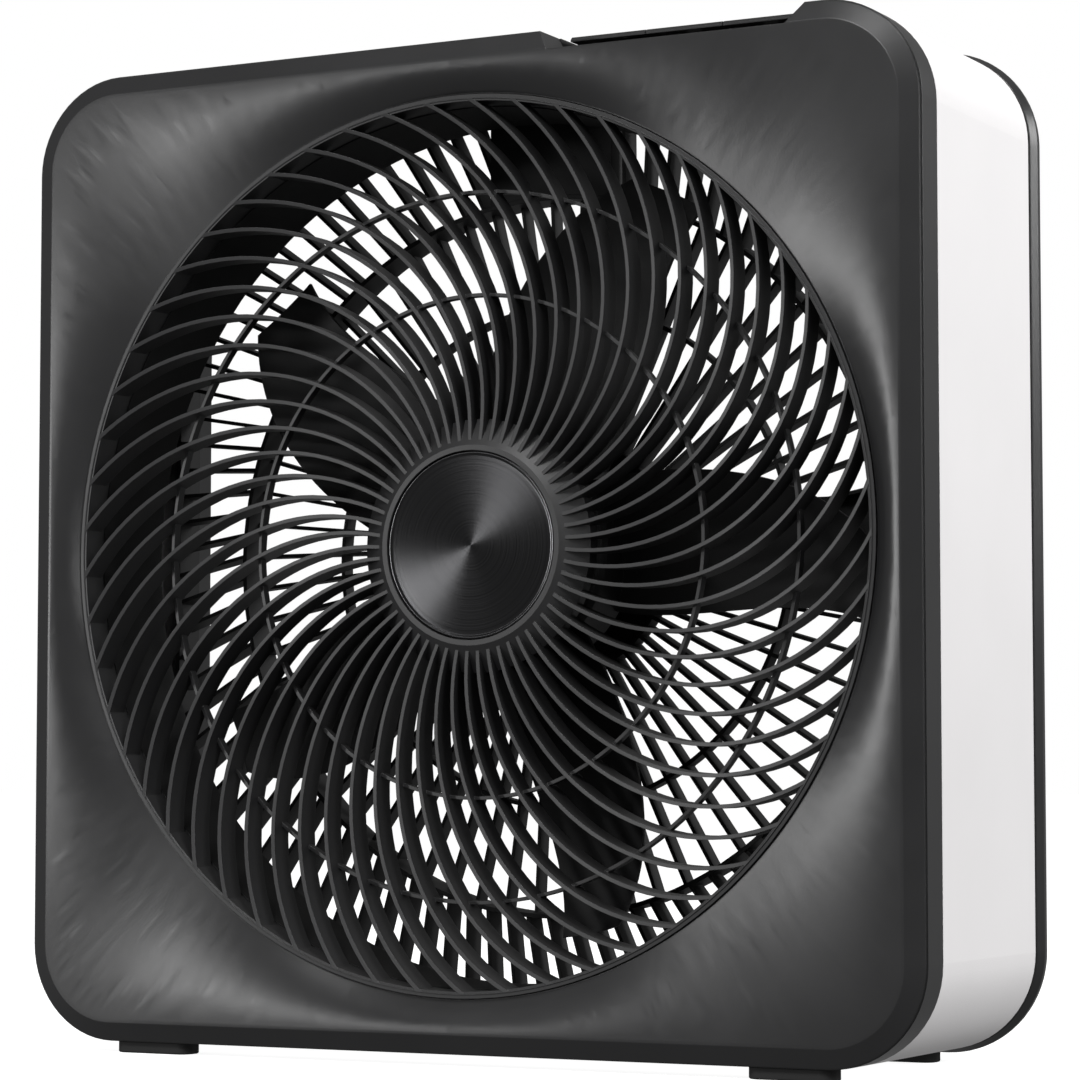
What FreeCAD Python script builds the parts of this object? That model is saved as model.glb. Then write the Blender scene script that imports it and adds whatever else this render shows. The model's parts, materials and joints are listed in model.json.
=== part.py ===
"""Box fan: a square housing with a round grille, a five-bladed impeller and three push buttons.

Millimetres, +Z up. The fan blows towards -Y, so the front grille faces -Y and the guard faces +Y.
The origin is on the floor, under the middle of the whole fan.
Depths are measured from the front of the rim towards the back, and place() turns them into Y.
"""
import FreeCAD, Part
import math
import os

# ---------------------------------------------------------------- driving sizes: housing
shell_width = 516.0
shell_height = 520.0
shell_corner = 51.0
overall_depth = 172.0
wall = 2.6
fit_gap = 0.3

# front shell: a sloping rim, then a dish that changes from a rounded square to a circle
rim_width = 10.0
rim_slope = 4.4
rim_land = 1.0
groove_width = 1.2
groove_depth = 1.0
lip_end = 25.0
spigot_length = 10.0
dish_depth = 8.6
throat_radius = 232.8
throat_lip = 0.4
dish_wall = 2.5
duct_seat = 24.0

# side band and rear shell
neck_inset = 3.0
rear_flare = 2.3
rear_lip_depth = 13.5
rear_lip_crest = 8.7
rear_gap = 2.0
rear_frame = 17.0
rear_lip_taper = 2.2
funnel_start = 150.0
funnel_flare = 14.0
post_radius = 5.5
post_inset = 24.5
post_joint = 38.0
post_seat = 50.0

# feet
foot_drop = 6.2
foot_length = 46.0
foot_centre = 184.5
foot_width = 17.0
front_foot_depth = 15.5
rear_foot_inset = 24.4
foot_peg_radius = 2.9
foot_peg_length = 6.5

# ---------------------------------------------------------------- driving sizes: air path
duct_step = 4.8
duct_wall = 2.4
duct_flange_reach = 10.2
duct_lug_length = 25.2
grille_ring_step = 0.8
duct_end = 80.0
duct_flange_thickness = 3.0
duct_lug_width = 15.0

rib_count = 57
rib_thickness = 2.0
rib_depth = 14.0
rib_bow_radius = 125.4
rib_bow_centre = 140.0
rib_phase = 2.67
grille_ring_front = 7.5
grille_flat_radius = 107.0
grille_flat_depth = 24.4
support_ring_radii = (130.5, 184.0)
support_ring_depths = (28.0, 25.0)
support_ring_height = 5.0
support_ring_thickness = 1.8

boss_radius = 66.0
boss_land_radius = 52.0
boss_land_depth = 22.8
boss_slope = 8.2
badge_radius = 48.9
badge_thickness = 1.4
badge_depth = 24.0

guard_corner = 120.0
grip_half = 37.0
grip_wall = 2.4
guard_back = 134.0
guard_flange = 7.5
guard_flange_thickness = 3.0
guard_screw_inset = 4.7
guard_rim_wall = 3.0
guard_inner_front = 124.0
guard_outer_front = 114.0
guard_outer_back = 128.0
guard_ribs = 66
guard_outer_ribs = 99
guard_rib_thickness = 2.0
guard_lean = 6.0
guard_hub_wall = 2.6
guard_rings = ((136.0, 2.2, 124.0, 133.0), (194.0, 2.4, 113.0, 134.0))

# ---------------------------------------------------------------- driving sizes: impeller
blade_count = 5
blade_thickness = 2.4
blade_camber = 3.5
tip_radius = 205.0
hub_radius = 62.4
hub_front = 52.0
hub_back = 90.0
hub_wall = 2.6
hub_edge = 6.0
boss_outer = 11.0
boss_back = 80.0
nut_recess_radius = 16.0
nut_seat = 62.0
trailing_angles = (179.0, 167.5, 159.8, 151.8, 140.5)
leading_angles = (110.0, 122.0, 129.5, 132.5, 131.3)
trailing_depths = (54.0, 60.5, 66.5, 73.0, 78.0)
leading_depths = (86.0, 87.0, 88.0, 88.8, 89.2)

# ---------------------------------------------------------------- driving sizes: motor
shaft_radius = 4.0
shaft_front = 56.5
shaft_back = 130.5
running_gap = 0.04
motor_radius = 46.0
motor_front = 88.0
stack_front = 100.0
stack_back = 115.0
motor_back = 127.0
cover_wall = 2.4
bush_radius = 7.0
bush_length = 10.0
housing_radius = 9.5
bore_radius = 25.0
air_gap = 0.4
slot_count = 12
mount_plate = 3.0
motor_hub_margin = 20.0
motor_bolt_inset = 4.5
mount_screw_inset = 16.0
cap_margin = 4.0
cap_rise = 10.0

# ---------------------------------------------------------------- driving sizes: controls
key_pitch = 43.0
key_gap = 0.6
key_group_x = 121.2
key_front = 26.5
key_length = 33.0
key_height = 2.6
key_travel = 3.0
key_proud = 0.4
stem_side = 8.0
stem_gap = 0.4
tray_floor = 10.4
tray_thickness = 2.0
tray_wall = 1.6
tray_margin = 5.0
notch_top_left = 50.8
notch_top_right = 197.3
notch_slope_left = 5.7
notch_slope_right = 9.0
switch_width = 116.0
switch_height = 17.8
switch_depth = 28.0
spring_radius = 2.6
spring_wire = 0.45
spring_turns = 6

# ---------------------------------------------------------------- driving sizes: wiring
channel_half_height = 27.0
channel_depth = 16.0
channel_wall = 2.0
channel_hub_gap = 2.5
dial_x = 128.0
dial_radius = 22.0
dial_rise = 2.5
gland_radius = 9.0
gland_bore = 3.8
capacitor_x = 168.0
capacitor_length = 38.0
lead_radius = 2.5
lead_room = 1.2
lead_height = 12.0
lead_side = 9.0
lead_tight_bend = 8.0
lead_wide_bend = 24.0

# ---------------------------------------------------------------- derived values
rear_lip_start = overall_depth - rear_lip_depth
rear_lip_widest = overall_depth - rear_lip_crest
band_end = rear_lip_start - rear_gap
rear_foot_depth = overall_depth - rear_foot_inset
guard_half_width = shell_width / 2 - rear_frame
guard_half_height = shell_height / 2 - rear_frame
duct_radius = throat_radius - duct_step
duct_flange = throat_radius + duct_flange_reach
duct_lug_reach = throat_radius + duct_lug_length
grille_ring_outer = throat_radius - grille_ring_step
guard_hub_radius = motor_radius + motor_hub_margin
motor_bolt_circle = motor_radius - motor_bolt_inset
mount_circle = motor_radius - mount_screw_inset
cap_radius = motor_radius + cap_margin
channel_start = guard_hub_radius + channel_hub_gap
channel_end = guard_half_width - guard_rim_wall
foot_base = foot_drop + shell_height / 2
axis_height = foot_base
half_width = shell_width / 2
half_height = shell_height / 2
post_x = half_width - post_inset
post_z = half_height - post_inset
stem_reach = 2 * key_travel
key_floor_z = half_height - tray_floor
channel_back = guard_back + channel_depth
mount_floor = motor_back + mount_plate
lead_x = half_width - lead_side
lead_depth = guard_back + channel_depth / 2
key_depth_mid = key_front + key_length / 2


def place(x, depth, z):
    """A point from its sideways place, its depth behind the rim and its height over the fan axis."""
    return FreeCAD.Vector(x, depth - overall_depth / 2, z + axis_height)


def save(name, *solids):
    """Write one node. More than one solid makes a group of separate pieces."""
    shape = solids[0] if len(solids) == 1 else Part.makeCompound(list(solids))
    shape.exportStep("parts/" + name + ".step")
    print(name, len(shape.Solids), round(shape.Volume), shape.isValid())


def outline(half_x, half_z, corner, depth):
    """A rounded rectangle round the fan axis, as a wire at one depth."""
    inner_x = half_x - corner
    inner_z = half_z - corner
    diagonal = corner * math.sqrt(0.5)
    edges = []
    for quarter in range(4):
        sign_x = (1, -1, -1, 1)[quarter]
        sign_z = (1, 1, -1, -1)[quarter]
        end_x = place(sign_x * half_x, depth, sign_z * inner_z)
        end_z = place(sign_x * inner_x, depth, sign_z * half_z)
        middle = place(sign_x * (inner_x + diagonal), depth, sign_z * (inner_z + diagonal))
        start, finish = (end_x, end_z) if quarter % 2 == 0 else (end_z, end_x)
        edges.append(Part.Arc(start, middle, finish).toShape())
    for quarter in range(4):
        start = edges[quarter].Vertexes[-1].Point
        finish = edges[(quarter + 1) % 4].Vertexes[0].Point
        edges.append(Part.makeLine(start, finish))
    return Part.Wire(Part.__sortEdges__(edges))


def eased(inset, depth):
    """The housing outline at one depth, moved in by an inset."""
    return outline(half_width - inset, half_height - inset, shell_corner - inset, depth)


def prism(inset, start, end, corner_floor=4.0):
    """The housing outline, moved in by an inset and run from one depth to another."""
    corner = max(shell_corner - inset, corner_floor)
    wire = outline(half_width - inset, half_height - inset, corner, start)
    return Part.Face(wire).extrude(FreeCAD.Vector(0, end - start, 0))


def turned(points):
    """A solid of revolution round the fan axis, from (radius, depth) corners."""
    corners = [place(radius, depth, 0) for radius, depth in points]
    face = Part.Face(Part.makePolygon(corners + corners[:1]))
    return face.revolve(place(0, 0, 0), FreeCAD.Vector(0, 1, 0), 360)


def tube(inner, outer, start, end):
    """A ring round the fan axis."""
    return turned([(inner, start), (outer, start), (outer, end), (inner, end)])


def disc(radius, start, end):
    """A solid disc round the fan axis."""
    return Part.makeCylinder(radius, end - start, place(0, start, 0), FreeCAD.Vector(0, 1, 0))


def rod(radius, x, z, start, end):
    """A cylinder parallel to the fan axis."""
    return Part.makeCylinder(radius, end - start, place(x, start, z), FreeCAD.Vector(0, 1, 0))


def block(x_range, depth_range, z_range):
    """A box from its three ranges."""
    size = (x_range[1] - x_range[0], depth_range[1] - depth_range[0], z_range[1] - z_range[0])
    return Part.makeBox(*size, place(x_range[0], depth_range[0], z_range[0]))


def spun(shape, degrees):
    """A copy turned round the fan axis, anticlockwise as seen from the front."""
    copy = shape.copy()
    copy.rotate(place(0, 0, 0), FreeCAD.Vector(0, -1, 0), degrees)
    return copy


def screw(head_radius, head_height, shank_radius, length, x, z, seat, forward=True):
    """A pan-head screw along the fan axis, with a cross recess. seat is the depth under its head."""
    towards = -1 if forward else 1
    direction = FreeCAD.Vector(0, -towards, 0)
    head = Part.makeCylinder(head_radius, head_height, place(x, seat, z), direction)
    head = head.makeFillet(head_height * 0.4, [head.Edges[0]])
    shank = Part.makeCylinder(shank_radius, length, place(x, seat, z), direction * -1)
    body = head.fuse(shank)
    recess = head_height * 0.5
    top = seat - towards * head_height
    near, far = sorted((top, top + towards * recess))
    for wide, narrow in ((head_radius * 0.55, 0.45), (0.45, head_radius * 0.55)):
        body = body.cut(block((x - wide, x + wide), (near - 0.01, far + 0.01), (z - narrow, z + narrow)))
    return body


# ---------------------------------------------------------------- front shell
def square_radius(angle, half_x, half_z, corner):
    """Distance from the axis to a rounded rectangle, in one direction."""
    dx = abs(math.cos(angle))
    dz = abs(math.sin(angle))
    reach = min(half_x / dx if dx > 1e-9 else 1e9, half_z / dz if dz > 1e-9 else 1e9)
    centre_x = half_x - corner
    centre_z = half_z - corner
    along = dx * centre_x + dz * centre_z
    across = centre_x * dz - centre_z * dx
    inside = corner ** 2 - across ** 2
    if inside > 0 and dx * reach > centre_x and dz * reach > centre_z:
        return along + math.sqrt(inside)
    return reach


def dish_plug(grow, shift, end):
    """The space in front of the dish: a rounded square that shrinks into the round throat."""
    edge_inset = rim_width + rim_land - grow * 0.5
    corner = shell_corner - edge_inset
    levels = 8
    steps = 48
    faces = []
    fronts = []
    backs = []
    for side in (1, -1):
        grid = []
        for level in range(levels + 1):
            share = level / levels
            depth = shift + dish_depth * share ** 2
            row = []
            for step in range(steps + 1):
                angle = math.pi * step / steps - math.pi / 2
                square = square_radius(angle, half_width - edge_inset, half_height - edge_inset, corner)
                radius = square * (1 - share) + (throat_radius + grow) * share
                row.append(place(side * radius * math.cos(angle), depth, radius * math.sin(angle)))
            grid.append(row)
        surface = Part.BSplineSurface()
        surface.interpolate(grid)
        first, last = surface.bounds()[:2]
        faces.append(surface.toShape())
        fronts.append(surface.uIso(first).toShape())
        backs.append(surface.uIso(last).toShape())
    for rim in (fronts, backs):
        faces.append(Part.Face(Part.Wire(Part.__sortEdges__(rim))))
    shell = Part.Shell(faces)
    shell.sewShape()
    bowl = Part.Solid(shell)
    if bowl.Volume < 0:
        bowl.reverse()
    return bowl.fuse(disc(throat_radius + grow - throat_lip, shift + dish_depth - 0.5, end))


def notch_cut(front, back, grow=0.0):
    """The dip in the top of the rim that a finger reaches the buttons through."""
    above = 5.0
    top = half_height + above
    floor = key_floor_z - grow
    left = notch_top_left - grow
    right = notch_top_right + grow
    corners = [
        place(left - notch_slope_left * above / tray_floor, front, top),
        place(left + notch_slope_left, front, floor),
        place(right - notch_slope_right, front, floor),
        place(right + notch_slope_right * above / tray_floor, front, top),
    ]
    face = Part.Face(Part.makePolygon(corners + corners[:1]))
    return face.extrude(FreeCAD.Vector(0, back - front, 0))


def foot_places():
    """Each foot's name, sideways centre and depth."""
    for row, depth in (("front", front_foot_depth), ("rear", rear_foot_depth)):
        for side, sign in (("left", -1), ("right", 1)):
            yield "foot_" + row + "_" + side, sign * foot_centre, depth


def foot_holes(shape, start, end):
    """Cut the peg holes of the feet that stand under this shell."""
    for _, x, depth in foot_places():
        if start < depth < end:
            bottom = place(x, depth, -half_height - 1)
            hole = Part.makeCylinder(foot_peg_radius + fit_gap, 2 * wall + 4, bottom)
            shape = shape.cut(hole)
    return shape


def duct_screw_places():
    """The four diagonal places where the duct is screwed to the front shell."""
    radius = duct_lug_reach - duct_lug_width / 2
    for quarter in range(4):
        angle = math.radians(45 + 90 * quarter)
        yield radius * math.cos(angle), radius * math.sin(angle)


def post_places():
    for sign_x in (-1, 1):
        for sign_z in (-1, 1):
            yield sign_x * post_x, sign_z * post_z


def front_shell():
    rim = Part.makeLoft([eased(rim_width, 0), eased(0, rim_slope)], True, True)
    outer = rim.fuse(prism(0, rim_slope, lip_end))
    outer = outer.fuse(prism(wall + fit_gap, lip_end, lip_end + spigot_length))
    groove = prism(-1, rim_slope, rim_slope + groove_width).cut(
        prism(groove_depth, rim_slope - 1, rim_slope + groove_width + 1))
    outer = outer.cut(groove)
    inside = prism(wall, rim_slope + 1.2, lip_end - wall)
    inside = inside.fuse(prism(2 * wall + fit_gap, lip_end - wall, lip_end + spigot_length + 1))
    inside = inside.cut(dish_plug(dish_wall, dish_wall, duct_seat))
    shell = outer.cut(inside)
    liner = notch_cut(rim_slope, lip_end, tray_thickness).common(prism(0, rim_slope, lip_end))
    collar = tube(throat_radius - 1, throat_radius + 2 * dish_wall, dish_depth - 3, dish_depth + 4)
    shell = shell.fuse(liner).fuse(collar)
    for x, z in post_places():
        shell = shell.fuse(rod(post_radius, x, z, dish_wall, post_joint))
    for x, z in duct_screw_places():
        shell = shell.fuse(rod(5.0, x, z, dish_wall, duct_seat))
    shell = shell.cut(dish_plug(0, -0.001, lip_end + spigot_length + 5))
    for x, z in post_places():
        shell = shell.cut(rod(1.75, x, z, post_joint - 24, post_joint + 1))
    for x, z in duct_screw_places():
        shell = shell.cut(rod(1.55, x, z, duct_seat - 12, duct_seat + 1))
    shell = shell.cut(notch_cut(-2, lip_end + spigot_length + 2))
    shell = shell.cut(block(tray_range(fit_gap), (lip_end, lip_end + spigot_length + 1),
                            (key_floor_z - tray_thickness - 1, half_height + 1)))
    shell = foot_holes(shell, 0, lip_end)
    return shell.removeSplitter()


# ---------------------------------------------------------------- duct
def air_duct():
    profile = [
        (duct_radius, duct_seat), (duct_flange, duct_seat),
        (duct_flange, duct_seat + duct_flange_thickness),
        (duct_radius + duct_wall, duct_seat + duct_flange_thickness),
        (duct_radius + duct_wall, duct_end), (duct_radius, duct_end)]
    duct = turned(profile)
    lug_start = duct_radius + duct_wall / 2
    for quarter in range(4):
        lug = block((lug_start, duct_lug_reach), (duct_seat, duct_seat + duct_flange_thickness),
                    (-duct_lug_width / 2, duct_lug_width / 2))
        duct = duct.fuse(spun(lug, 45 + 90 * quarter))
    for x, z in duct_screw_places():
        duct = duct.cut(rod(1.9, x, z, duct_seat - 1, duct_seat + duct_flange_thickness + 1))
    return duct.removeSplitter()


# ---------------------------------------------------------------- front grille
def bow_point(radius, angle_degrees, depth, side=0.0):
    """A point on one bowed rib, at a distance from the axis. side moves it across the rib."""
    bow = rib_bow_radius + side
    cosine = (radius ** 2 + rib_bow_centre ** 2 - bow ** 2) / (2 * radius * rib_bow_centre)
    angle = math.radians(angle_degrees) - math.acos(cosine)
    return place(radius * math.cos(angle), depth, radius * math.sin(angle))


def slot_wire(index, inner, outer, depth):
    """The opening between one rib and the next."""
    pitch = 360.0 / rib_count
    first = rib_phase + index * pitch
    half = rib_thickness / 2
    middle = (inner + outer) / 2
    sides = []
    for angle, side in ((first, -half), (first + pitch, half)):
        ends = [bow_point(radius, angle, depth, side) for radius in (inner, middle, outer)]
        sides.append(ends)
    lower, upper = sides

    def ring_arc(start, end, radius):
        chord = (start + end) * 0.5 - place(0, depth, 0)
        return Part.Arc(start, place(0, depth, 0) + chord.normalize() * radius, end).toShape()

    edges = [
        Part.Arc(lower[0], lower[1], lower[2]).toShape(),
        ring_arc(lower[2], upper[2], outer),
        Part.Arc(upper[2], upper[1], upper[0]).toShape(),
        ring_arc(upper[0], lower[0], inner)]
    return Part.Wire(edges)


def grille_profile(radius):
    """Depth of the front edge of the ribs at one radius: flat in the middle, rising to the ring."""
    rise = grille_flat_depth - grille_ring_front
    run = duct_radius - grille_flat_radius
    bow = (run ** 2 + rise ** 2) / (2 * rise)
    beyond = max(radius - grille_flat_radius, 0)
    return grille_flat_depth - (bow - math.sqrt(bow ** 2 - beyond ** 2))


def bowl_sheet(thickness, inner, outer):
    """The space that the ribs fill, between the bowl's front face and the same face moved back."""
    front_flat = place(inner, grille_flat_depth, 0)
    front_bend = place(grille_flat_radius, grille_flat_depth, 0)
    middle = (grille_flat_radius + outer) / 2
    front_mid = place(middle, grille_profile(middle), 0)
    front_end = place(outer, grille_profile(outer), 0)
    back = FreeCAD.Vector(0, thickness, 0)
    edges = [
        Part.makeLine(front_flat, front_bend),
        Part.Arc(front_bend, front_mid, front_end).toShape(),
        Part.makeLine(front_end, front_end + back),
        Part.Arc(front_end + back, front_mid + back, front_bend + back).toShape(),
        Part.makeLine(front_bend + back, front_flat + back),
        Part.makeLine(front_flat + back, front_flat)]
    face = Part.Face(Part.Wire(edges))
    return face.revolve(place(0, 0, 0), FreeCAD.Vector(0, 1, 0), 360)


def front_grille():
    rib_start = boss_land_radius + 1.5
    rib_end = duct_radius + 1.5
    plate = Part.Face(Part.Wire(Part.makeCircle(
        rib_end + 0.5, place(0, 0, 0), FreeCAD.Vector(0, 1, 0))))
    prism_plate = plate.extrude(FreeCAD.Vector(0, 60, 0))
    slots = []
    for index in range(rib_count):
        wire = slot_wire(index, rib_start, rib_end, -1)
        slots.append(Part.Face(wire).extrude(FreeCAD.Vector(0, 62, 0)))
    ribs = prism_plate.cut(Part.makeCompound(slots))
    ribs = ribs.common(bowl_sheet(rib_depth, rib_start - 2, rib_end + 0.5))
    rim = tube(duct_radius + 0.5, grille_ring_outer, grille_ring_front, duct_seat)
    boss_back = grille_flat_depth + rib_depth
    slope_end = boss_land_depth + boss_slope
    boss = turned([
        (0, badge_depth + badge_thickness), (badge_radius + fit_gap, badge_depth + badge_thickness),
        (badge_radius + fit_gap, boss_land_depth), (boss_land_radius, boss_land_depth),
        (boss_radius, slope_end), (boss_radius, boss_back),
        (boss_radius - 3, boss_back), (boss_radius - 3, slope_end + 2.5),
        (boss_land_radius, badge_depth + badge_thickness + 3), (0, badge_depth + badge_thickness + 3)])
    whole = ribs.fuse(boss).fuse(rim)
    for radius, depth in zip(support_ring_radii, support_ring_depths):
        half = support_ring_thickness / 2
        whole = whole.fuse(tube(radius - half, radius + half, depth, depth + support_ring_height))
    return whole


def badge_disc():
    """A plain turned disc with a shallow dished face and a fine raised edge."""
    front = badge_depth
    back = badge_depth + badge_thickness
    return turned([
        (0, front + 0.3), (badge_radius - 2.0, front + 0.3), (badge_radius - 1.6, front),
        (badge_radius - 0.4, front), (badge_radius, front + 0.4), (badge_radius, back), (0, back)])


# ---------------------------------------------------------------- side band
def side_band():
    band = prism(0, lip_end + fit_gap, band_end).cut(prism(wall, lip_end - 1, band_end + 1))
    rear_edges = [edge for edge in band.Edges
                  if abs(edge.BoundBox.YMin - place(0, band_end, 0).y) < 1e-6
                  and abs(edge.BoundBox.YMax - place(0, band_end, 0).y) < 1e-6
                  and on_outline(edge)]
    band = band.makeFillet(1.4, rear_edges)
    opening = block(tray_range(fit_gap), (lip_end - 2, key_front + key_length + tray_wall + 0.9 + fit_gap),
                    (half_height - wall - 2, half_height + 2))
    band = band.cut(opening)
    band = foot_holes(band, lip_end, band_end)
    return band.removeSplitter()


def on_outline(edge):
    """True for an edge on the outside of the band."""
    point = edge.valueAt((edge.FirstParameter + edge.LastParameter) / 2)
    height = point.z - axis_height
    angle = math.atan2(height, point.x)
    reach = square_radius(angle, half_width, half_height, shell_corner)
    return abs(math.hypot(point.x, height) - reach) < wall / 2


# ---------------------------------------------------------------- rear shell and guard
def guard_outline(grow, depth):
    return outline(guard_half_width + grow, guard_half_height + grow, guard_corner + grow, depth)


def guard_prism(grow, start, end):
    return Part.Face(guard_outline(grow, start)).extrude(FreeCAD.Vector(0, end - start, 0))


def funnel(grow, end):
    """The flared mouth behind the guard, moved outwards by a wall and run on to a depth."""
    spread = funnel_flare * (end - funnel_start) / (overall_depth - funnel_start)
    return Part.makeLoft([
        guard_outline(grow, funnel_start),
        guard_outline(grow + spread, end)], True, True)


def rear_shell():
    """The back panel, its lip, the wall round the guard's opening and the four long screw posts."""
    grow = -rear_flare
    taper = rear_lip_taper
    lip = Part.makeLoft([
        eased(0, rear_lip_start),
        eased(grow, rear_lip_widest)], True, True)
    back = Part.makeLoft([
        eased(grow, rear_lip_widest),
        eased(grow + taper / 5, (rear_lip_widest + overall_depth) / 2),
        eased(grow + taper, overall_depth)], True, False)
    neck = prism(neck_inset, band_end - 3, rear_lip_start)
    spigot = prism(wall + fit_gap, band_end - spigot_length, band_end)
    outer = lip.fuse(back).fuse(neck).fuse(spigot)
    panel = overall_depth - wall - 1.5
    shell = outer.cut(prism(2 * wall + fit_gap, band_end - spigot_length - 1, panel))
    shell = shell.fuse(guard_prism(wall, guard_back, funnel_start))
    shell = shell.fuse(funnel(wall, overall_depth).common(outer))
    shell = shell.fuse(guard_prism(guard_flange, guard_back, guard_back + guard_flange_thickness))
    for x, z in post_places():
        shell = shell.fuse(rod(post_radius, x, z, post_joint, panel + 1))
    for x, z in guard_screw_places():
        shell = shell.fuse(rod(2.8, x, z, guard_back, guard_back + 12))
    shell = shell.cut(guard_prism(0, guard_back - 1, funnel_start))
    shell = shell.cut(funnel(0, overall_depth + 1))
    for x, z in post_places():
        shell = shell.cut(rod(2.2, x, z, post_joint - 1, post_seat + 1))
        shell = shell.cut(rod(4.2, x, z, post_seat, overall_depth + 1))
    for x, z in guard_screw_places():
        shell = shell.cut(rod(1.5, x, z, guard_back - 1, guard_back + 11))
    shell = shell.cut(lead_slot())
    shell = foot_holes(shell, lip_end, band_end)
    return shell.removeSplitter()


def guard_screw_places():
    """Two screws on each side of the guard's flange."""
    reach = guard_half_width + guard_screw_inset
    rise = guard_half_height + guard_screw_inset
    for sign in (-1, 1):
        for share in (-0.3, 0.3):
            yield sign * reach, share * guard_half_height
            yield share * guard_half_width, sign * rise


def lead_slot():
    """Where the switch lead leaves the channel: through the wall and past both flanges."""
    side = lead_radius + lead_room
    through = block((channel_end - 6, lead_x), (lead_depth - side, lead_depth + side),
                    (lead_height - side, lead_height + side))
    past = block((lead_x - side, lead_x + side),
                 (guard_back - guard_flange_thickness - 1, lead_depth + side),
                 (lead_height - side, lead_height + side))
    return through.fuse(past)


def guard_rib(inner, outer, front, back, lean):
    """One guard rib. lean swings its outer end round the axis by some degrees."""
    half = guard_rib_thickness / 2
    angle = math.radians(lean)
    away = place(outer * math.cos(angle), front, outer * math.sin(angle))
    near = place(inner, front, 0)
    along = away - near
    side = FreeCAD.Vector(-along.z, 0, along.x).normalize() * half
    corners = [near + side, near - side, away - side, away + side]
    return Part.Face(Part.makePolygon(corners + corners[:1])).extrude(FreeCAD.Vector(0, back - front, 0))


def hand_recess(inset, start, ring_reach):
    """The pocket for the fingers above the outer ring, moved in by a wall and open to the rear."""
    top = guard_half_height - guard_rim_wall + (1 if inset == 0 else 0)
    end = guard_back + (0 if inset == 0 else 1)
    room = block((-grip_half + inset, grip_half - inset), (start, end), (0, top))
    return room.cut(disc(ring_reach + inset, start - 1, end + 1))


def rear_guard():
    """The guard: two zones of ribs, two rings, a flanged rim and the plate that carries the motor."""
    inner_ring = guard_rings[0]
    outer_ring = guard_rings[1]
    reach = 1.42 * guard_half_width
    inner_rib = guard_rib(guard_hub_radius - 1, outer_ring[0], guard_inner_front, guard_back, guard_lean / 2)
    outer_rib = guard_rib(outer_ring[0], reach, guard_outer_front, guard_outer_back, guard_lean)
    ribs = [spun(inner_rib, 360.0 / guard_ribs * index + 1.0) for index in range(guard_ribs)]
    outer_ribs = [spun(outer_rib, 360.0 / guard_outer_ribs * index + 0.4)
                  for index in range(guard_outer_ribs)]
    rim_inside = guard_prism(-guard_rim_wall / 2, guard_outer_front - 1, guard_back + 1)
    ribs += Part.makeCompound(outer_ribs).common(rim_inside).Solids
    passage = block((guard_hub_radius - 4, guard_half_width - guard_rim_wall),
                    (guard_outer_front - 2, guard_back + 1),
                    (-channel_half_height + 1, channel_half_height - 1))
    ribs = Part.makeCompound(ribs).cut(passage)
    rim = guard_prism(0, guard_outer_front, guard_back)
    rim = rim.fuse(guard_prism(guard_flange, guard_back - guard_flange_thickness, guard_back))
    rim = rim.cut(guard_prism(-guard_rim_wall, guard_outer_front - 1, guard_back + 1))
    rings = [tube(radius - width / 2, radius + width / 2, front, back)
             for radius, width, front, back in guard_rings]
    hub = tube(guard_hub_radius - guard_hub_wall, guard_hub_radius, guard_inner_front, guard_back)
    hub = hub.fuse(tube(housing_radius + 1, guard_hub_radius, motor_back, mount_floor))
    plate = block((guard_hub_radius - 1, guard_half_width - 1), (guard_back - 3, guard_back),
                  (-channel_half_height, channel_half_height))
    dial = rod(dial_radius, dial_x, 0, guard_back - 3 - dial_rise, guard_back - 1)
    dial = dial.cut(rod(dial_radius - 4, dial_x, 0, guard_back - 4 - dial_rise, guard_back - 3))
    guard = hub.multiFuse([rim, plate, dial] + rings + ribs.Solids)
    ring_reach = outer_ring[0] + outer_ring[1] / 2
    guard = guard.cut(hand_recess(grip_wall, guard_outer_front + grip_wall, ring_reach))
    guard = guard.fuse(hand_recess(0, guard_outer_front, ring_reach - 1).cut(
        hand_recess(grip_wall, guard_outer_front + grip_wall, ring_reach)))
    for x, z in mount_screw_places():
        guard = guard.cut(rod(2.1, x, z, motor_back - 1, mount_floor + 1))
    for x, z in channel_screw_places():
        guard = guard.cut(rod(1.7, x, z, guard_back - 4, guard_back + 1))
    for x, z in guard_screw_places():
        guard = guard.cut(rod(1.9, x, z, guard_back - guard_flange_thickness - 1, guard_back + 1))
    guard = guard.cut(lead_slot())
    return guard.removeSplitter()


# ---------------------------------------------------------------- impeller
def blade():
    """One blade: a cambered sheet from the hub to the tip, trimmed at both ends."""
    stations = len(leading_angles)
    across = (0.0, 0.25, 0.5, 0.75, 1.0)
    inner = hub_radius - hub_wall - 4
    outer = tip_radius + 6
    grids = []
    for offset in (-blade_thickness / 2, blade_thickness / 2):
        grid = []
        for station in range(stations):
            share = station / (stations - 1)
            radius = inner + (outer - inner) * share
            row = []
            for part in across:
                start = trailing_angles[station]
                angle = math.radians(start + (leading_angles[station] - start) * part)
                depth = trailing_depths[station]
                depth += (leading_depths[station] - depth) * part
                depth += blade_camber * 4 * part * (1 - part) + offset
                row.append(place(radius * math.cos(angle), depth, radius * math.sin(angle)))
            grid.append(row)
        surface = Part.BSplineSurface()
        surface.interpolate(grid)
        grids.append(surface)
    front, back = grids
    faces = [front.toShape(), back.toShape()]
    u0, u1, v0, v1 = front.bounds()
    pairs = [(front.uIso(u0), back.uIso(u0)), (front.uIso(u1), back.uIso(u1)),
             (front.vIso(v0), back.vIso(v0)), (front.vIso(v1), back.vIso(v1))]
    for one, other in pairs:
        faces.append(Part.makeRuledSurface(one.toShape(), other.toShape()))
    shell = Part.Shell(faces)
    shell.sewShape()
    solid = Part.Solid(shell)
    if solid.Volume < 0:
        solid.reverse()
    return solid.common(tube(hub_radius - hub_wall / 2, tip_radius, hub_front - 5, hub_back + 15))


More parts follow.
